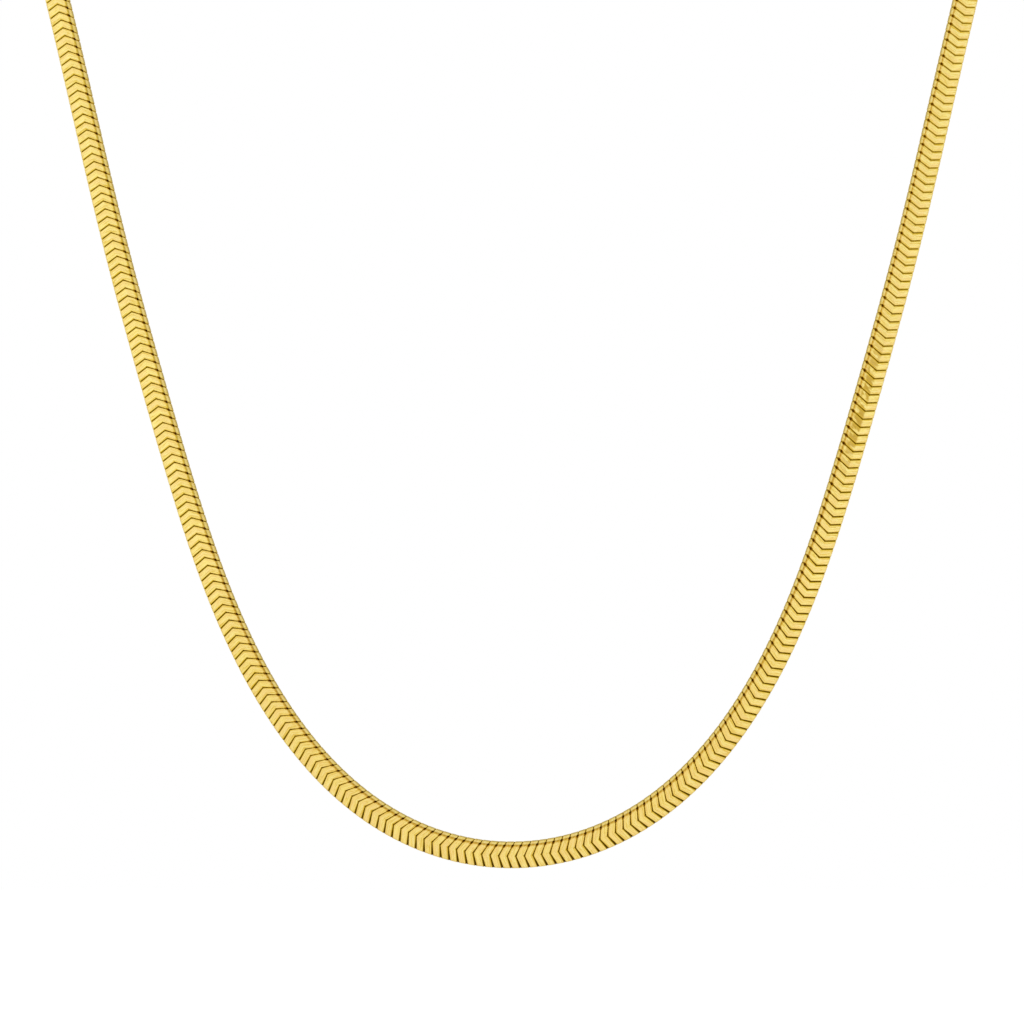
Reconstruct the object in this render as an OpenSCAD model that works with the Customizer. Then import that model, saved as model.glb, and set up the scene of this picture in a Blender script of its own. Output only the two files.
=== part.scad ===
// Flat snake chain necklace: a band of close chevron plates, two end caps and a ring clasp.
// The closed loop hangs in the XZ plane, with its front towards -Y and +Z up.
// The origin is the underside of the clasp, the point that rests on the nape of the neck.

/* [Loop] */
// Length of the draped stretch on each side of the lowest point
drape_l = 118; // [108:1:132]
// Direction of the straight sides above the horizontal, in degrees
side_angle = 77.1; // [72:0.1:82]
// Length in which the bottom would turn to that direction at its tightest curve
bend_l = 36.7; // [34:0.1:44]
// How suddenly the bottom curve gives way to the straight sides
bend_power = 3.04; // [2.2:0.02:4]

/* [Band] */
// Width of the band over its two sides
band_w = 3; // [2.7:0.1:3.3]
// Thickness of the band between its front and back creases
band_t = 0.96; // [0.86:0.02:1.1]
// How far each side stands out past its creases
side_bulge = 0.06; // [0.02:0.01:0.12]
// Height of the low ridge that runs along each face
ridge_h = 0.04; // [0.01:0.01:0.08]
// How far the ridge lies from the middle towards the inner side
ridge_shift = 0.1; // [0:0.05:0.3]

/* [Roll] */
// Roll of the band about its own length at the top of the left side, in degrees
roll_left = 34; // [0:1:40]
// Roll halfway down the left side
roll_low_left = 31; // [0:1:40]
// Roll at the lowest point
roll_bottom = 27; // [0:1:40]
// Roll halfway up the right side
roll_low_right = 27; // [0:1:40]
// Roll at the top of the right side
roll_right = 32; // [0:1:40]

/* [Clasp] */
// Radius of the clasp ring to the middle of its wire
clasp_r = 3; // [2.8:0.1:3.5]
// Diameter of the clasp's wire
clasp_wire = 0.9; // [0.7:0.05:1]
// Diameter of the clasp's thumb knob
knob_d = 1.5; // [1.2:0.1:2]
// Height of the thumb knob's middle above the wire
knob_h = 1.1; // [0.9:0.1:1.4]

/* [End caps] */
// Length of band held inside each end cap
grip_l = 3.2; // [2.5:0.1:4]
// Wall thickness of an end cap
cap_wall = 0.3; // [0.25:0.05:0.4]
// Corner radius inside an end cap
cap_corner_r = 0.25; // [0.15:0.05:0.3]
// Thickness of an end cap's closed end
cap_end = 0.8; // [0.6:0.1:1.2]
// Clearance between the band and the end cap round it
cap_gap = 0.1; // [0.05:0.01:0.15]
// Radius of the hole in an end cap's eye
eye_hole_r = 0.8; // [0.75:0.05:0.95]
// Diameter of the eye's wire
eye_wire = 0.7; // [0.5:0.05:0.8]
// Clearance between the eye and the clasp's wire that pulls on it
eye_gap = 0.08; // [0.05:0.01:0.12]

/* [Hidden] */
$fn = 48;

// Rings of the band on each side, in the drape and in the arch
drape_rings = 24;
arch_rings = 14;
// The drape's rings stand closer together at the bottom, by this power
ring_power = 1.3;
// Step in which the drape's curve is worked out
route_step = 0.25;

// Direction of the drape at a distance from its lowest point
function drape_dir(s) =
    side_angle * s / pow(pow(bend_l, bend_power) + pow(s, bend_power), 1 / bend_power);

// The drape's curve from its lowest point, as rows of distance, x and z
drape_curve = [
    for (s = 0, x = 0, z = 0; s <= drape_l + route_step;
         turn = drape_dir(s + route_step / 2),
         x = x + route_step * cos(turn), z = z + route_step * sin(turn),
         s = s + route_step)
        [s, x, z]
];
drape_x = [for (row = drape_curve) [row[0], row[1]]];
drape_z = [for (row = drape_curve) [row[0], row[2]]];

// The hidden stretch is one round arch that carries on from both sides
end_dir = drape_dir(drape_l);
arch_r = lookup(drape_l, drape_x) / sin(end_dir);
arch_z = lookup(drape_l, drape_z) + arch_r * cos(end_dir);
half_loop_l = drape_l + arch_r * PI * (180 - end_dir) / 180;
// Height of the underside of the clasp above the lowest point of the band's middle line
nape_z = arch_z + arch_r - clasp_r - clasp_wire / 2;

// Places of the eyes, the end caps and the ends of the band, measured from the clasp's middle
eye_x = clasp_r - clasp_wire / 2 - eye_gap + eye_hole_r;
cap_x = eye_x + eye_hole_r + eye_wire / 2;
band_end_x = cap_x + cap_end + cap_gap;
band_end = half_loop_l - band_end_x;

// Direction of the band at a distance along it, negative to the left of the lowest point
function band_dir(s) =
    sign(s) * (abs(s) <= drape_l
        ? drape_dir(abs(s))
        : end_dir + (abs(s) - drape_l) / arch_r * 180 / PI);

// Middle of the band at a distance along it
function band_point(s) =
    abs(s) <= drape_l
        ? [sign(s) * lookup(abs(s), drape_x), 0, lookup(abs(s), drape_z) - nape_z]
        : [arch_r * sin(band_dir(s)), 0, arch_z - arch_r * cos(band_dir(s)) - nape_z];

// Roll of the band as rows of distance along it and angle
roll_rows = [
    [-band_end + grip_l, 0],
    [-drape_l, roll_left],
    [-drape_l / 2, roll_low_left],
    [0, roll_bottom],
    [drape_l / 2, roll_low_right],
    [drape_l, roll_right],
    [band_end - grip_l, 0]
];

// Outward direction across the band and direction out of its front face
function across(s) =
    let (turn = band_dir(s), roll = lookup(s, roll_rows))
    [sin(turn) * cos(roll), sin(roll), -cos(turn) * cos(roll)];
function facing(s) =
    let (turn = band_dir(s), roll = lookup(s, roll_rows))
    [sin(turn) * sin(roll), -cos(roll), -cos(turn) * sin(roll)];

// Section of the band: distance across it and depth, round from the front ridge
crease_w = band_w / 2 - side_bulge;
crease_d = band_t / 2;
ridge_d = band_t / 2 + ridge_h;
section = [
    [-ridge_shift, ridge_d],
    [crease_w, crease_d],
    [band_w / 2, crease_d / 2],
    [band_w / 2, -crease_d / 2],
    [crease_w, -crease_d],
    [-ridge_shift, -ridge_d],
    [-crease_w, -crease_d],
    [-band_w / 2, -crease_d / 2],
    [-band_w / 2, crease_d / 2],
    [-crease_w, crease_d]
];

// Distances of the rings along the band, from its left end to its right end
half_rings = concat(
    [for (i = [1:drape_rings]) drape_l * pow(i / drape_rings, ring_power)],
    [for (i = [1:arch_rings]) drape_l + (band_end - grip_l - drape_l) * i / arch_rings],
    [band_end]
);
ring_places = concat(
    [for (i = [len(half_rings) - 1:-1:0]) -half_rings[i]],
    [0],
    half_rings
);

// A closed body swept through rings of the same number of points
module swept(rings) {
    sides = len(rings[0]);
    last = len(rings) - 1;
    polyhedron(
        points = [for (ring = rings) each ring],
        faces = concat(
            [[for (k = [sides - 1:-1:0]) k]],
            [[for (k = [0:sides - 1]) last * sides + k]],
            [for (i = [0:last - 1], k = [0:sides - 1])
                let (a = i * sides + k, b = i * sides + (k + 1) % sides)
                [a, b, b + sides, a + sides]]
        )
    );
}

// The flat band of chevron plates, as one solid of its outer form
module chain() {
    color("#E6C25A")
    swept([
        for (s = ring_places)
            [for (p = section) band_point(s) + p[0] * across(s) + p[1] * facing(s)]
    ]);
}

// A flat bar with rounded corners, along X, its width upright
module flat_bar(width, thickness, corner_r, length) {
    rotate([90, 0, 90])
    linear_extrude(length) {
        square([thickness - 2 * corner_r, width], center = true);
        square([thickness, width - 2 * corner_r], center = true);
        for (x = [-1, 1], y = [-1, 1])
            translate([x * (thickness / 2 - corner_r), y * (width / 2 - corner_r)])
                circle(corner_r);
    }
}

// A ring of round wire in the XY plane
module wire_ring(radius, wire) {
    rotate_extrude()
        translate([radius, 0])
            circle(d = wire);
}

// An end cap along X: its mouth at -X holds the band, and its eye is at +X
module end_cap() {
    inner_w = band_w + 2 * cap_gap;
    inner_t = 2 * ridge_d + 2 * cap_gap;
    difference() {
        union() {
            translate([-grip_l, 0, 0])
                flat_bar(inner_w + 2 * cap_wall, inner_t + 2 * cap_wall, cap_corner_r + cap_wall,
                         grip_l + cap_gap + cap_end);
            translate([band_end_x - eye_x, 0, 0])
                wire_ring(eye_hole_r + eye_wire / 2, eye_wire);
        }
        translate([-2 * grip_l, 0, 0])
            flat_bar(inner_w, inner_t, cap_corner_r, 2 * grip_l + cap_gap);
    }
}

// An end cap in its place, on the left end or the right end of the band
module placed_cap(side) {
    middle = side * (band_end - grip_l / 2);
    translate(band_point(middle))
        rotate([0, -band_dir(middle), 0])
            mirror([side < 0 ? 1 : 0, 0, 0])
                translate([grip_l / 2, 0, 0])
                    end_cap();
}

module end_cap_left() {
    color("#DDB64C") placed_cap(-1);
}

module end_cap_right() {
    color("#DDB64C") placed_cap(1);
}

// The ring clasp, through both eyes, with its thumb knob on top
module clasp() {
    color("#D9B04A")
    translate([0, 0, clasp_r + clasp_wire / 2]) {
        rotate([90, 0, 0])
            wire_ring(clasp_r, clasp_wire);
        translate([0, 0, clasp_r])
            cylinder(h = knob_h, d = clasp_wire);
        translate([0, 0, clasp_r + knob_h])
            sphere(d = knob_d);
    }
}

chain();
end_cap_left();
end_cap_right();
clasp();
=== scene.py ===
# %% [markdown]
# # A flat snake chain necklace
# A flat snake chain is a flexible band of small plates. Each plate is bent to a chevron, and the
# plates stand so close that the band looks like one brushed ribbon with fine dark joints.
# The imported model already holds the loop, its end caps and its clasp at their real size. This
# lesson keeps that frame, lays the plates one by one along the loop, and gives the gold its finish.

# %% Load the frame
import math
import random

import bmesh
import bpy
from mathutils import Color, Matrix, Vector


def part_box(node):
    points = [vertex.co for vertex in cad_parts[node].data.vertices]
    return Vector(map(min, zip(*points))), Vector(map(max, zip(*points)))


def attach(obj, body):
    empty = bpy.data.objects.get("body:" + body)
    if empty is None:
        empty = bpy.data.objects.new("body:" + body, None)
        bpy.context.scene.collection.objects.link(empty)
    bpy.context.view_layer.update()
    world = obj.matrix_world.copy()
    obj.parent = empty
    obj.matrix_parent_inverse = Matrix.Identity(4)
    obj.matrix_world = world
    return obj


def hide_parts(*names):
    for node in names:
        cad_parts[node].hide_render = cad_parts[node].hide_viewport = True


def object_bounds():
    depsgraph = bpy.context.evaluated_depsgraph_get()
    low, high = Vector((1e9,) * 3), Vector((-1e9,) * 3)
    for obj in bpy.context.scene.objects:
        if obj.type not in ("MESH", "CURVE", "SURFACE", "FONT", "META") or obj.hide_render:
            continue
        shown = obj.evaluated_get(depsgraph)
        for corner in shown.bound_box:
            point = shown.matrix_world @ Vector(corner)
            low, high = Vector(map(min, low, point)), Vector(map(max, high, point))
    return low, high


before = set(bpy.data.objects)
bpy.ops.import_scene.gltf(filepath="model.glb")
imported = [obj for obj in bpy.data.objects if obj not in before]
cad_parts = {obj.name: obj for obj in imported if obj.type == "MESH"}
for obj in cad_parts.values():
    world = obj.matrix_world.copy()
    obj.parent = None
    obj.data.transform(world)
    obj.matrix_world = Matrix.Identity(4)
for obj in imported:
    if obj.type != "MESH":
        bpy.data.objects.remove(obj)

cad_low, cad_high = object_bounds()
print("the frame spans, in millimetres:", [round(size * 1000, 1) for size in cad_high - cad_low])

# %% [markdown]
# ## The line that the band follows
# A flat chain bends sideways only a little, so it hangs in a round bottom curve between two nearly
# straight sides. A spline through hand-placed points could follow it, but a rule is easier to
# trust: the direction of the band turns evenly at the bottom and then levels off at the angle of
# the sides. Adding up short steps in that direction gives the curve. A round arch closes the loop
# behind the neck.

# %% Lengths and angles of the hanging loop
MM = 0.001
drape_l = 118 * MM
side_angle = math.radians(77.1)
bend_l = 36.7 * MM
bend_power = 3.04
route_step = 0.25 * MM


def drape_turn(s):
    """Direction of the drape above the horizontal, at a distance from its lowest point."""
    return side_angle * s / (bend_l**bend_power + s**bend_power) ** (1 / bend_power)


drape_points = [Vector((0, 0, 0))]
while (len(drape_points) - 1) * route_step < drape_l + route_step:
    turn = drape_turn((len(drape_points) - 0.5) * route_step)
    step = Vector((math.cos(turn), 0, math.sin(turn))) * route_step
    drape_points.append(drape_points[-1] + step)


def drape_point(s):
    """Place on the right half of the drape, at a distance from its lowest point."""
    index, rest = divmod(s / route_step, 1)
    return drape_points[int(index)].lerp(drape_points[int(index) + 1], rest)


print("height of the drape in millimetres:", round(drape_point(drape_l).z / MM, 1))

# %% The arch behind the neck, and where the loop hangs
end_turn = drape_turn(drape_l)
arch_r = drape_point(drape_l).x / math.sin(end_turn)
arch_z = drape_point(drape_l).z + arch_r * math.cos(end_turn)
half_loop_l = drape_l + arch_r * (math.pi - end_turn)

clasp_low, clasp_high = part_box("clasp")
clasp_middle_z = clasp_low.z + (clasp_high.x - clasp_low.x) / 2
lowest_z = clasp_middle_z - arch_z - arch_r
print("length of the loop in millimetres:", round(2 * half_loop_l / MM, 1))


def band_turn(s):
    """Direction of the band at a distance along it, negative to the left of the lowest point."""
    far = abs(s)
    turn = drape_turn(far) if far <= drape_l else end_turn + (far - drape_l) / arch_r
    return math.copysign(turn, s)


def band_point(s):
    """Middle of the band at a distance along it."""
    if abs(s) <= drape_l:
        point = drape_point(abs(s))
        return Vector((math.copysign(point.x, s), 0, point.z + lowest_z))
    turn = band_turn(s)
    return Vector((arch_r * math.sin(turn), 0, arch_z - arch_r * math.cos(turn) + lowest_z))


# %% [markdown]
# ## How the band is rolled
# The band leans a little about its own length, so its inner side shows all the way round. The
# lean is given at a few places and goes evenly between them. A chain never hangs in a perfect
# curve, so a faint wave of less than a tenth of a millimetre is added too. With both, each place
# along the band has a matrix: X runs along the band, Y points into the loop and Z out of the
# front face.

# %% Roll of the band
# From the middle of the clasp to the end of the band, and the length that an end cap holds
band_end_x = 5.32 * MM
grip_l = 3.2 * MM
band_end = half_loop_l - band_end_x
# Each row: distance along the band from its lowest point, and roll in degrees
roll_rows = [
    (-band_end + grip_l, 0),
    (-drape_l, 34),
    (-drape_l / 2, 31),
    (0, 27),
    (drape_l / 2, 27),
    (drape_l, 32),
    (band_end - grip_l, 0),
]


def row_value(rows, s):
    """Value at a distance s, in a straight line between the nearest rows."""
    for (start, low), (end, high) in zip(rows, rows[1:]):
        if s <= end:
            return low + (high - low) * max(0, s - start) / (end - start)
    return rows[-1][1]


print("roll of the band at its lowest point in degrees:", row_value(roll_rows, 0))

# %% Place and directions of the band
wave_top = 0.074 * MM
wave_l = 45 * MM
wave_fade = 20 * MM


def smooth_step(value, start, end):
    """0 before start, 1 after end, and a smooth rise between."""
    part = min(1, max(0, (value - start) / (end - start)))
    return part * part * (3 - 2 * part)


def band_matrix(s):
    """Place and directions of the band: X along it, Y into the loop, Z out of its front."""
    wave_turn = 2 * math.pi * s / wave_l
    wave_h = wave_top * (1 - smooth_step(abs(s), drape_l, drape_l + wave_fade))
    turn = band_turn(s) + wave_h * 2 * math.pi / wave_l * math.sin(wave_turn)
    roll = math.radians(row_value(roll_rows, s))
    along = Vector((math.cos(turn), 0, math.sin(turn)))
    level = Vector((-math.sin(turn), 0, math.cos(turn)))
    inward = level * math.cos(roll) - Vector((0, 1, 0)) * math.sin(roll)
    facing = along.cross(inward)
    turned = Matrix((along, inward, facing)).transposed()
    place = band_point(s) - level * wave_h * math.cos(wave_turn)
    return Matrix.Translation(place) @ turned.to_4x4()


print("lowest point of the band:", [round(part / MM, 1) for part in band_matrix(0).translation])

# %% [markdown]
# ## One plate
# Each plate is a flat bar across the band, bent to a chevron, with a groove on its inner side
# where the face meets the rolled edge, and a rounded outer side. It could be cut from a cube with
# many bisecting planes. Drawing its outline as two polygons that meet at the ridge, and extruding
# them along the band, needs fewer faces, and that counts where a plate is repeated so often.

# %% Outline of a plate
plate_l = 0.875 * MM
ridge_d = 0.525 * MM
# Each corner, in millimetres: place across the band, depth, and how far its rim stands back
inner_corners = [
    (1.33, 0.49, 0.03),
    (1.365, 0.40, 0.11),
    (1.47, 0.27, 0.02),
    (1.50, 0.05, 0.0),
    (1.47, -0.30, 0.0),
    (1.39, -0.48, 0.0),
]
outer_corners = [
    (-1.37, 0.49, 0.03),
    (-1.46, 0.42, 0.0),
    (-1.50, 0.28, 0.0),
    (-1.50, -0.28, 0.0),
    (-1.41, -0.48, 0.0),
]


def half_outline(bm, corners, front, back):
    """One half of a plate's outline as a polygon, from the front ridge round to the back."""
    verts = [bm.verts.new((0, y * MM, z * MM)) for y, z, pinch in corners]
    return bm.faces.new([front, *verts, back])


# %% [markdown]
# ## Joints between the plates
# The faces of two plates never touch: a thin joint stays open between them, painted dark as
# shade. Inside, a tongue fills the joint up to the next plate, so no light falls through the band.
# The rims are bevelled, because real edges catch the light. In the groove they stand back and sink
# a little, which leaves a small hole there at every joint, painted brown as shade.

# %% Rims of a plate
rim_bevel = 0.05 * MM
rim_reach = 1.5 * rim_bevel
same_place = 0.001 * MM
# A corner that stands back further than this, in millimetres, is the one at the hole
hole_pinch = 0.1
hole_depth = 0.14 * MM
hole_slant = 0.3


def pinch_corner(bm, y, z, pinch):
    """Move the rims back at a corner. At the hole, their inner edges sink too."""
    for vert in bm.verts:
        apart = (Vector((y, z)) * MM - vert.co.yz).length
        if apart < same_place:
            vert.co.x += pinch * MM if vert.co.x < plate_l / 2 else -pinch * MM
        elif apart < rim_reach and pinch > hole_pinch:
            vert.co.y -= hole_slant * hole_depth
            vert.co.z -= hole_depth


# %% Extrude the outline to a plate
end_facing = 0.9
tongue_l = 0.05 * MM
# At the sides of the band the tongue stands further out, nearly level with the plates
tongue_rise = 0.04 * MM
tongue_side_y = 1.38 * MM


def extruded(bm, faces):
    """Extrude faces where they are, and return the points of the new faces."""
    moved = bmesh.ops.extrude_face_region(bm, geom=faces)["geom"]
    return [item for item in moved if isinstance(item, bmesh.types.BMVert)]


def plate_mesh():
    """A plate round the origin: X along the band, Y into the loop, Z out of its front."""
    bm = bmesh.new()
    front = bm.verts.new((0, 0, ridge_d))
    back = bm.verts.new((0, 0, -ridge_d))
    halves = [half_outline(bm, corners, front, back) for corners in (inner_corners, outer_corners)]
    bmesh.ops.translate(bm, verts=extruded(bm, halves), vec=(plate_l, 0, 0))
    bmesh.ops.recalc_face_normals(bm, faces=bm.faces)

    ends = [face for face in bm.faces if abs(face.normal.x) > end_facing]
    rims = {edge for face in ends for edge in face.edges if not set(edge.link_faces) <= set(ends)}
    bmesh.ops.bevel(
        bm, geom=list(rims), offset=rim_bevel, offset_type="OFFSET", segments=1,
        profile=0.5, affect="EDGES", material=-1,
    )
    for y, z, pinch in inner_corners + outer_corners:
        pinch_corner(bm, y, z, pinch)

    front_end = [face for face in bm.faces if face.normal.x > end_facing]
    for vert in extruded(bm, front_end):
        vert.co.x = plate_l + tongue_l
        if abs(vert.co.y) > tongue_side_y:
            vert.co.y += math.copysign(tongue_rise, vert.co.y)
    # Extruding keeps the old faces, and here they would be a wall inside the plate
    bmesh.ops.delete(bm, geom=front_end, context="FACES")
    bmesh.ops.recalc_face_normals(bm, faces=bm.faces)
    bmesh.ops.translate(bm, verts=bm.verts, vec=(-plate_l / 2, 0, 0))
    volume = bm.calc_volume(signed=True) / MM**3
    print("volume of one plate in cubic millimetres:", round(volume, 2))
    print("edges where it isn't closed:", sum(not edge.is_manifold for edge in bm.edges))
    mesh = bpy.data.meshes.new("plate")
    bm.to_mesh(mesh)
    bm.free()
    return mesh


plate = plate_mesh()
print("faces of one plate:", len(plate.polygons))

# %% [markdown]
# ## The chevron
# The chevron is a shear, not a bend: every point slides along the band by an amount that grows
# with its distance from the ridge. How much each leg leans changes along the band, because the
# plates stand a few degrees askew on both sides, one way on the left and the other way on the
# right. The plates also lean from front to back, are a little thicker in the bottom bend, and
# carry the lip of their groove further in at the top of the right side.

# %% Slide each point of a plate along the band
# Each row: distance along the band, and how far the ridge lies from the middle
ridge_rows = [
    (-drape_l, 0.2 * MM),
    (-10 * MM, 0.18 * MM),
    (10 * MM, 0.08 * MM),
    (45 * MM, 0.06 * MM),
    (62 * MM, -0.05 * MM),
]
# Each row: distance along the band, and slope of a leg
inner_leans = [(-drape_l, 0.67), (-45 * MM, 0.58), (0, 0.47), (45 * MM, 0.42), (drape_l, 0.22)]
outer_leans = [(-drape_l, 0.16), (-45 * MM, 0.26), (0, 0.31), (45 * MM, 0.355), (drape_l, 0.33)]
# Each row: distance along the band, and how far the groove's lip moves in
lip_rows = [(20 * MM, 0), (62 * MM, 0.03 * MM), (96 * MM, 0.15 * MM)]
# Each row: distance along the band, and how many times thicker a plate is there
thick_rows = [(-60 * MM, 1), (0, 1.12), (60 * MM, 1)]
ridge_zone = 0.1 * MM
lip_from_y = 1.2 * MM
lip_from_z = 0.33 * MM
depth_lean = 0.3
lean_middle = 0.33 * MM


def chevron_point(s, x, y, z):
    """A point of a plate after the chevron's slide, by the plate's distance along the band."""
    ridge_y = row_value(ridge_rows, s)
    if abs(y) < ridge_zone:
        y += ridge_y
    if y > lip_from_y and z > lip_from_z:
        y += row_value(lip_rows, s)
    reach = y - ridge_y
    lean = row_value(inner_leans if reach > 0 else outer_leans, s)
    slide = abs(reach) * lean - z * depth_lean - lean_middle
    return x + slide, y, z * row_value(thick_rows, s)


for leg, leans in (("inner", inner_leans), ("outer", outer_leans)):
    print("slope of the", leg, "leg at the lowest point:", row_value(leans, 0))

# %% [markdown]
# ## The row of plates
# In the bend the plates are pressed together on the inner side and open like a fan on the outer
# side, and on the straight sides they have a little slack. So the places are stepped off along
# the inner side, and the middle line follows from the curvature.

# %% Step the plates off along the inner side
side_pitch = 0.952 * MM
pitch_drift = 0.012
drift_l = 15 * MM
# The plates are pressed together where the curvature is a good part of its greatest value
bend_squeeze = 0.05 * MM
squeeze_from = 0.15
squeeze_to = 0.8
curvature_step = 0.5 * MM
inner_side_y = 1.41 * MM
end_room = 0.95 * MM


def curvature(s):
    """Turn of the band for each metre of its length."""
    half = curvature_step / 2
    return (band_turn(s + half) - band_turn(s - half)) / curvature_step


def middle_pitch(s):
    """Pitch of the plates on the middle line of the band."""
    tight = smooth_step(curvature(s) / curvature(0), squeeze_from, squeeze_to)
    inner = side_pitch * (1 + pitch_drift * math.tanh(s / drift_l)) - bend_squeeze * tight
    return inner / (1 - inner_side_y * curvature(s))


def half_places(side):
    """Places of the plates from the lowest point to one end of the band."""
    steps = [side * side_pitch / 2]
    while abs(steps[-1]) < band_end - end_room:
        steps.append(steps[-1] + side * middle_pitch(steps[-1]))
    return steps[:-1]


places = half_places(-1)[::-1] + half_places(1)
print("plates in the band:", len(places))

# %% [markdown]
# ## Laying the plates
# Every plate is the same mesh, put at its place with a tiny wobble of its own. An array modifier
# could repeat it, but it can't fan the joints out or change the legs along the way. The tongue
# grows to reach the next plate, because the joints of a fan aren't parallel. Two attributes
# remember the plate's own coordinates and its number, distance and tone, so that the brushed
# grain can follow each plate wherever it stands.

# %% Lay the plates
random.seed(7)
wobble_deg = 0.35
# Left free before the wobble and the fan, which use it up at many joints
tongue_clearance = 0.006 * MM


def tongue_reach(s, y):
    """Where the tongue ends at a distance across the band, right beside the next plate."""
    spacing = middle_pitch(s) * (1 - y * curvature(s))
    return spacing - plate_l / 2 - tongue_clearance


def lay_plates():
    """All plates as one mesh, each with its own grain place and tone."""
    bm = bmesh.new()
    grain_place = bm.verts.layers.float_vector.new("grain_place")
    plate_facts = bm.verts.layers.float_vector.new("plate_facts")
    for number, s in enumerate(places):
        laid = len(bm.verts)
        bm.from_mesh(plate)
        bm.verts.ensure_lookup_table()
        verts = bm.verts[laid:]
        tone = random.uniform(-1, 1)
        for vert in verts:
            x, y, z = vert.co
            vert[grain_place] = vert.co / MM
            vert[plate_facts] = (number, s / MM, tone)
            if x > plate_l / 2 + tongue_l / 2:
                x = tongue_reach(s, y)
            vert.co = chevron_point(s, x, y, z)
        tilt = Matrix.Rotation(math.radians(random.uniform(-wobble_deg, wobble_deg)), 4, "X")
        sway = Matrix.Rotation(math.radians(random.uniform(-wobble_deg, wobble_deg)), 4, "Y")
        bmesh.ops.transform(bm, matrix=band_matrix(s) @ tilt @ sway, verts=verts)
    mesh = bpy.data.meshes.new("chain_plates")
    bm.to_mesh(mesh)
    bm.free()
    return mesh


chain_plates = bpy.data.objects.new("chain_plates", lay_plates())
bpy.context.scene.collection.objects.link(chain_plates)
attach(chain_plates, "root")
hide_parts("chain")
print("faces in the row of plates:", len(chain_plates.data.polygons))

# %% [markdown]
# ## Writing shaders as sums
# A finish is a small calculation on the surface: a mask here, a little more colour there. Typed
# as node after node it is hard to read. One class wraps a socket so that Python's own signs add
# the Math nodes, and one method adds any other node from its type, settings and values.

# %% A socket that can be used in a sum
class Number:
    """A socket that holds a number. Sums with it add Math nodes."""

    def __init__(self, finish, socket):
        self.finish = finish
        self.socket = socket

    def math(self, operation, *values):
        return self.finish.node("ShaderNodeMath", {"operation": operation}, dict(enumerate(values)))

    def __add__(self, other):
        return self.math("ADD", self, other)

    def __radd__(self, other):
        return self.math("ADD", other, self)

    def __sub__(self, other):
        return self.math("SUBTRACT", self, other)

    def __rsub__(self, other):
        return self.math("SUBTRACT", other, self)

    def __mul__(self, other):
        return self.math("MULTIPLY", self, other)

    def __rmul__(self, other):
        return self.math("MULTIPLY", other, self)

    def __neg__(self):
        return self.math("MULTIPLY", self, -1)

    def __abs__(self):
        return self.math("ABSOLUTE", self)

    def ramp(self, start, end):
        """0 below start, 1 above end, and a smooth rise between."""
        settings = {"interpolation_type": "SMOOTHSTEP"}
        values = {"Value": self, "From Min": start, "From Max": end}
        return self.finish.node("ShaderNodeMapRange", settings, values)


# %% The nodes of a material or of the world
# A Mix node has sockets for each type of data, and these are its colour sockets
FIRST_COLOUR = 6
SECOND_COLOUR = 7
MIXED_COLOUR = 2


class Finish:
    """The nodes of a material or of the world."""

    def __init__(self, tree):
        self.tree = tree
        tree.nodes.clear()

    def node(self, kind, settings=None, values=None, output=0):
        node = self.tree.nodes.new(kind)
        for name, setting in (settings or {}).items():
            setattr(node, name, setting)
        for name, value in (values or {}).items():
            socket = node.inputs[name]
            if isinstance(value, Number):
                self.tree.links.new(value.socket, socket)
            else:
                socket.default_value = value
        return Number(self, node.outputs[output])

    def attribute(self, name):
        return self.node("ShaderNodeAttribute", {"attribute_name": name}, output="Vector")

    def axes(self, vector, names="XYZ"):
        """The wanted parts of a vector, as numbers."""
        values = {"Vector": vector}
        return [self.node("ShaderNodeSeparateXYZ", values=values, output=name) for name in names]

    def mix(self, mask, first, second):
        """The first colour where the mask is 0, the second where it is 1."""
        values = {"Factor": mask, FIRST_COLOUR: first, SECOND_COLOUR: second}
        return self.node("ShaderNodeMix", {"data_type": "RGBA"}, values, output=MIXED_COLOUR)

    def end(self, kind, shader):
        output = self.tree.nodes.new(kind)
        self.tree.links.new(shader.socket, output.inputs["Surface"])


def screen_colour(red, green, blue):
    """A colour as a screen shows it, from 0 to 255, as the renderer needs it."""
    colour = Color((red / 255, green / 255, blue / 255)).from_srgb_to_scene_linear()
    return (*colour, 1)


def new_material(name):
    material = bpy.data.materials.new(name)
    material.use_nodes = True
    return material, Finish(material.node_tree)


# %% [markdown]
# ## Masks for the groove
# A mask is a number from 0 to 1 that says where a colour goes. The plates' own coordinates, in
# millimetres, place these: along is 0 in the middle of a plate, across is 0 in the middle of the
# band and grows towards its inner side, and depth grows towards the front. The groove runs
# beside the inner strip and is painted brown as shade. Its hole at each joint is painted browner
# still, as deeper shade, with a faint halo of painted shade round it. The rims of the strip and of
# the outer side are painted olive, a painted dark reflection.

# %% Masks of the groove, the rims and the holes
def groove_masks(along, across, depth, run):
    """The inner strip, and the painted shade of the groove, the rims of both sides, the holes and
    their halos.
    """
    strip = across.ramp(1.30, 1.35)
    # Painted shade in the groove, deepest in the middle of each plate
    mid_spot = (1 - abs(along).ramp(0.04, 0.16)) * 0.25
    groove_shade = across.ramp(1.2, 1.3) * (1 - abs(depth - 0.4).ramp(0.05, 0.14)) * (0.75 + mid_spot)
    # Painted dark reflection on the rims, darker towards the back of the strip and lighter at the
    # joints
    rim_back_shade = (1 - depth.ramp(-0.26, 0.1)) * (1 - abs(along).ramp(0.2, 0.44) * 0.5)
    rim_shade = strip * (0.18 + rim_back_shade * 0.6) + (-across).ramp(1.15, 1.48) * 0.36
    # Painted shade in the hole at each joint, with a halo of it round the hole
    hole_shade = across.ramp(1.12, 1.2) * (1 - (across - run.ramp(20, 60) * 0.05).ramp(1.41, 1.47))
    hole_shade = hole_shade * depth.ramp(0.08, 0.2)
    halo_shade = hole_shade * abs(along).ramp(0.2, 0.34)
    hole_shade = hole_shade * abs(along).ramp(0.31, 0.35)
    return strip, groove_shade, rim_shade, hole_shade, halo_shade
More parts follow.
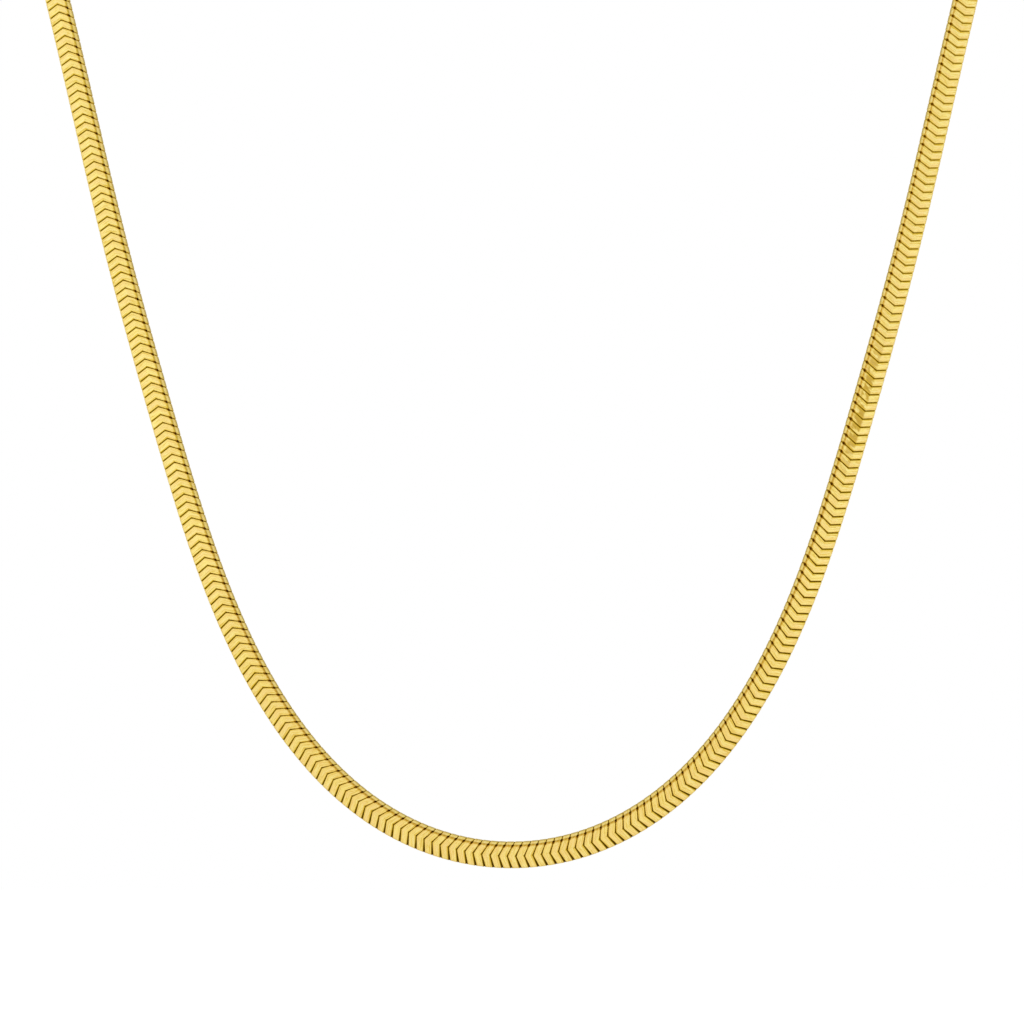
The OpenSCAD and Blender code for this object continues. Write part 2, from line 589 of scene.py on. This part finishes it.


# %% [markdown]
# ## Masks for the joints
# The edges of a joint are painted deeper in colour, a painted reflection of the warm light that
# the neighbouring plates throw back, and its gap is painted dark as shade. It fades out at the
# sides of the band, except in the bottom bend, where the plates fan out on the outer side and their
# joints get a deeper painted shade. On the right side all joints are paler, as if the light reached
# further in.

# %% Masks of the joints
def joint_masks(along, across, run, strip):
    """The painted reflection at the edges of the joints, the painted shade in their gaps, and where
    the plates fan out.
    """
    # Where a joint shows at all: less at the outer side and, away from the bend, on the strip
    joint = 1 - (abs(run).ramp(0, 100) * 0.17 - across).ramp(1.38, 1.5)
    joint = joint * (1 - strip * ((-run).ramp(5, 110) * 0.9 + run.ramp(0, 40) * 0.36))
    inner = across.ramp(-0.5, 0.5)
    right = run.ramp(40, 105)
    # A joint looks wider in the fan and at the ridge, and narrower on the inner leg
    fan = (1 - abs(run).ramp(5, 45)) * (-across).ramp(0, 1.3)
    fold = 1 - abs(across - 0.06).ramp(0.02, 0.2)
    wide = fan * 0.02 + fold * 0.045 - inner * 0.02
    # Painted reflection of the neighbouring plates at the edges of a joint, and painted shade in
    # its gap
    edge = (abs(along) + wide).ramp(0.345, 0.405) * joint
    edge = edge * (1 - inner * (1 - right) * 0.35) * (1 - right * 0.3)
    shaded_gap = abs(along).ramp(0.425, 0.435) * joint * (1 - right * 0.4)
    return edge, shaded_gap, fan


# %% [markdown]
# ## Brushed grain
# The plates have a fine grain, brushed along each leg of the chevron. It is a noise that is long
# across the band and short along it, read from the plate's own place, so it turns with every
# plate. The plate's number moves the noise on, so that no two plates look alike.

# %% Noises that follow the plates
number_along = 3.7
number_across = 1.3


def plate_noises(finish, along, across, depth, number):
    """The grain, its pale streaks, a finer grain and a broad cloud."""

    def noise(along_scale, across_scale, **settings):
        point = {
            "X": along * along_scale + number * number_along,
            "Y": across * across_scale + number * number_across,
            "Z": depth * across_scale,
        }
        at = finish.node("ShaderNodeCombineXYZ", values=point)
        return finish.node("ShaderNodeTexNoise", values={"Vector": at, "Scale": 1.0, **settings})

    grain = noise(5, 0.5, Detail=4.0, Roughness=0.7)
    streak = noise(9, 0.7, Detail=2.0, Roughness=0.7)
    fine = noise(22, 3, Detail=2.0)
    cloud = noise(1.6, 1.2, Detail=1.0)
    return grain, streak, fine, cloud


# %% [markdown]
# ## Satin gold of the plates
# The plates are yellow gold plate. The grain gives deeper bands with pale streaks over them, and
# the cloud makes some patches rosier. Away from the lowest point the inner half of the face is a
# little deeper, a painted shade, and one short stretch on the right has a painted dark reflection
# on its inner half. Towards its joints a plate is painted warmer and browner, a painted reflection
# of the light that the neighbouring plates throw back. A painted texture could hold all this, but
# masks that are added up one by one stay sharp at any distance.

# %% Colours of the plates
gold = screen_colour(252, 231, 138)
pale_gold = screen_colour(255, 241, 166)
deep_gold = screen_colour(226, 190, 70)
rose_gold = screen_colour(249, 214, 138)
# Painted warm reflection near the joints, and the lighter painted shade of the groove on the left
warm_gold = screen_colour(240, 206, 60)
# Painted dark reflection on a short stretch on the right
dark_reflection_gold = screen_colour(186, 146, 20)
# Painted shade in the groove
groove_shade_brown = screen_colour(204, 154, 0)
# Painted dark reflection on the rims of the strip and of the outer side
rim_shade_olive = screen_colour(158, 141, 90)
# Painted reflection at the edges of the joints, and painted shade in their gaps
joint_edge_reflection = screen_colour(192, 160, 0)
joint_gap_shade = screen_colour(118, 86, 0)
# Painted shade in the holes
hole_shade_brown = screen_colour(146, 100, 0)
# Painted shade in the joints where the plates fan out
fan_shade_brown = screen_colour(70, 38, 0)
gold_edge = screen_colour(252, 236, 180)
# Middle of the stretch with the painted dark reflection, in millimetres from the lowest point
dark_reflection_middle = 69.5


# %% Material of the plates
def plates_material():
    """Brushed satin gold, with brown painted shade in the grooves, holes and joints."""
    material, finish = new_material("satin_gold_plates")
    along, across, depth = finish.axes(finish.attribute("grain_place"))
    number, run, tone = finish.axes(finish.attribute("plate_facts"))
    grain, streak, fine, cloud = plate_noises(finish, along, across, depth, number)
    strip, groove_shade, rim_shade, hole_shade, halo_shade = groove_masks(along, across, depth, run)
    edge, shaded_gap, fan = joint_masks(along, across, run, strip)
    rosy = cloud.ramp(0.4, 0.65) * 0.4 + (-along).ramp(-0.1, 0.35) * 0.3
    # A painted dark reflection, on the inner half of a short stretch on the right
    dark_reflection = abs(run - dark_reflection_middle).ramp(10, 3) * cloud.ramp(0.35, 0.5)
    dark_reflection = dark_reflection * across.ramp(-0.2, 0.15) * (1 - across.ramp(0.85, 1.35))
    left = (-run).ramp(44, 64)

    shade = finish.mix(grain.ramp(0.42, 0.59) * 1.05 - 0.08 + tone * 0.08, gold, deep_gold)
    shade = finish.mix(streak.ramp(0.47, 0.57) * 0.8, shade, pale_gold)
    shade = finish.mix(rosy, shade, rose_gold)
    # Painted shade: away from the lowest point the inner half of the face is a little deeper
    shade = finish.mix(across.ramp(-0.4, 0.6) * abs(run).ramp(0, 25) * 0.12, shade, deep_gold)
    shade = finish.mix(dark_reflection * 0.75, shade, dark_reflection_gold)
    # Painted reflection: a plate is warmer towards its joints, as the neighbouring plates throw
    # light back
    shade = finish.mix(abs(along).ramp(0.2, 0.42) * 0.5, shade, warm_gold)
    # Painted shade in the groove, lighter and more golden on the left
    shade = finish.mix(groove_shade, shade, finish.mix(left * 0.75, groove_shade_brown, warm_gold))
    # Painted dark reflection on the rims
    shade = finish.mix(rim_shade, shade, rim_shade_olive)
    # Painted shade in a halo round each hole
    shade = finish.mix(halo_shade * 0.4, shade, groove_shade_brown)
    # Painted reflection at the edges of the joints, then painted shade in their gaps
    shade = finish.mix(edge, shade, joint_edge_reflection)
    shade = finish.mix(shaded_gap, shade, joint_gap_shade)
    # Painted shade in the holes
    shade = finish.mix(hole_shade, shade, hole_shade_brown)
    # Painted shade in the joints where the plates fan out in the bend
    shade = finish.mix(edge * fan * 0.7, shade, fan_shade_brown)

    bump = finish.node(
        "ShaderNodeBump",
        values={"Strength": 0.7, "Distance": 0.005 * MM, "Height": grain * 0.6 + fine * 0.4},
        output="Normal",
    )
    shader = finish.node(
        "ShaderNodeBsdfPrincipled",
        values={
            "Base Color": shade,
            "Metallic": 1.0,
            "Specular Tint": gold_edge,
            "Roughness": 0.26 + grain * 0.12 + fine * 0.06 + shaded_gap * 0.4,
            "Normal": bump,
        },
    )
    finish.end("ShaderNodeOutputMaterial", shader)
    return material


satin_gold = plates_material()
chain_plates.data.materials.append(satin_gold)
print("nodes in the material of the plates:", len(satin_gold.node_tree.nodes))

# %% [markdown]
# ## Polished gold of the caps and the clasp
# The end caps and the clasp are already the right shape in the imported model, so they keep it and
# only get a better finish: smoother than the plates, with faint rubbing marks.

# %% Material of the end caps and the clasp
rub_scale = 2200.0
cloud_scale = 500.0


def polished_material():
    """Polished gold with faint rubbing marks."""
    material, finish = new_material("polished_gold")
    place = finish.node("ShaderNodeTexCoord", output="Object")
    rubbed = finish.node(
        "ShaderNodeTexNoise",
        values={"Vector": place, "Scale": rub_scale, "Detail": 5.0, "Roughness": 0.7},
    )
    cloud = finish.node(
        "ShaderNodeTexNoise", values={"Vector": place, "Scale": cloud_scale, "Detail": 1.0}
    )
    worn = rubbed.ramp(0.45, 0.7) * 0.3 + cloud.ramp(0.4, 0.7) * 0.2
    bump = finish.node(
        "ShaderNodeBump",
        values={"Strength": 0.4, "Distance": 0.003 * MM, "Height": rubbed},
        output="Normal",
    )
    shader = finish.node(
        "ShaderNodeBsdfPrincipled",
        values={
            "Base Color": finish.mix(worn, gold, deep_gold),
            "Metallic": 1.0,
            "Roughness": 0.1 + rubbed * 0.16 + cloud * 0.06,
            "Normal": bump,
        },
    )
    finish.end("ShaderNodeOutputMaterial", shader)
    return material


polished_gold = polished_material()
for name in ("end_cap_left", "end_cap_right", "clasp"):
    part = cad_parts[name]
    part.data.materials.clear()
    part.data.materials.append(polished_gold)
    print("polished:", name)

# %% [markdown]
# ## Floor and light
# The necklace hangs over a plain pale floor in an even white light. The floor glows a little, so
# that it stays as bright as the light round it, and its middle is warmer and glows less, which
# tones the underside of the bend. Metal shows only what it mirrors. So the light is weaker from
# the front, behind the camera, and slightly weaker from the back and the right, which keeps the
# two legs of each chevron apart. The camera itself sees a plain white background.

# %% Floor
floor_drop = 70 * MM
floor_size = 3.0
warm_r = 0.2
plain_r = 0.6

bm = bmesh.new()
bmesh.ops.create_grid(bm, x_segments=1, y_segments=1, size=floor_size / 2)
bmesh.ops.translate(bm, verts=bm.verts, vec=(0, 0, cad_low.z - floor_drop))
floor_mesh = bpy.data.meshes.new("floor")
bm.to_mesh(floor_mesh)
bm.free()
floor = bpy.data.objects.new("floor", floor_mesh)
bpy.context.scene.collection.objects.link(floor)

floor_material, finish = new_material("pale_floor")
place = finish.node("ShaderNodeTexCoord", output="Object")
to_right, to_back = finish.axes(place, "XY")
far = (to_right * to_right + to_back * to_back).ramp(warm_r**2, plain_r**2)
shader = finish.node(
    "ShaderNodeBsdfPrincipled",
    values={
        "Base Color": finish.mix(far, screen_colour(247, 243, 236), screen_colour(250, 250, 250)),
        "Roughness": 0.9,
        "Specular IOR Level": 0.1,
        "Emission Color": finish.mix(far, (0.35, 0.3, 0.2, 1), (1, 1, 1, 1)),
        "Emission Strength": 0.2,
    },
)
finish.end("ShaderNodeOutputMaterial", shader)
floor_mesh.materials.append(floor_material)
print("the floor lies", round(floor_drop / MM), "mm under the chain")

# %% Studio light
full_light = 1.08
front_loss = 0.4
back_loss = 0.12
right_loss = 0.05
WHITE = (1, 1, 1, 1)

world = bpy.data.worlds.new("studio")
world.use_nodes = True
bpy.context.scene.world = world
finish = Finish(world.node_tree)
direction = finish.node("ShaderNodeTexCoord", output="Generated")
to_right, to_back = finish.axes(direction, "XY")
from_front = 1 - to_back.ramp(-0.95, -0.2)
from_back = to_back.ramp(0.1, 0.6)
from_right = to_right.ramp(0, 0.6)
light = full_light - from_front * front_loss - from_back * back_loss - from_right * right_loss
studio = finish.node("ShaderNodeBackground", values={"Color": WHITE, "Strength": light})
plain = finish.node("ShaderNodeBackground", values={"Color": WHITE, "Strength": 1.0})
seen = finish.node("ShaderNodeLightPath", output="Is Camera Ray")
mixed = finish.node("ShaderNodeMixShader", values={0: seen, 1: studio, 2: plain})
finish.end("ShaderNodeOutputWorld", mixed)
bpy.context.scene.view_settings.view_transform = "Standard"
print("nodes in the studio light:", len(world.node_tree.nodes))

# %% [markdown]
# ## Camera
# The camera stands in front of the drape and looks up a little, as in the photograph, where the
# band is a little wider at the bottom than at the top and the upper edge cuts the loop below the
# neck. The distance follows from the scale of the picture.

# %% Camera
picture_px = 1024
px_per_mm = 8.837
lens_mm = 100
sensor_mm = 36
look_up = math.radians(5)
middle_right = 0.06 * MM
middle_above = 38.45 * MM

view_l = picture_px / px_per_mm * MM * lens_mm / sensor_mm
view_middle = Vector((middle_right, 0, lowest_z + middle_above))
view_way = Vector((0, math.cos(look_up), math.sin(look_up)))
camera_data = bpy.data.cameras.new("camera")
camera_data.lens = lens_mm
camera_data.sensor_width = sensor_mm
camera = bpy.data.objects.new("camera", camera_data)
camera.location = view_middle - view_way * view_l
camera.rotation_euler = (math.radians(90) + look_up, 0, 0)
bpy.context.scene.collection.objects.link(camera)
bpy.context.scene.camera = camera
print("the camera stands", round(-camera.location.y / MM), "mm in front of the chain")
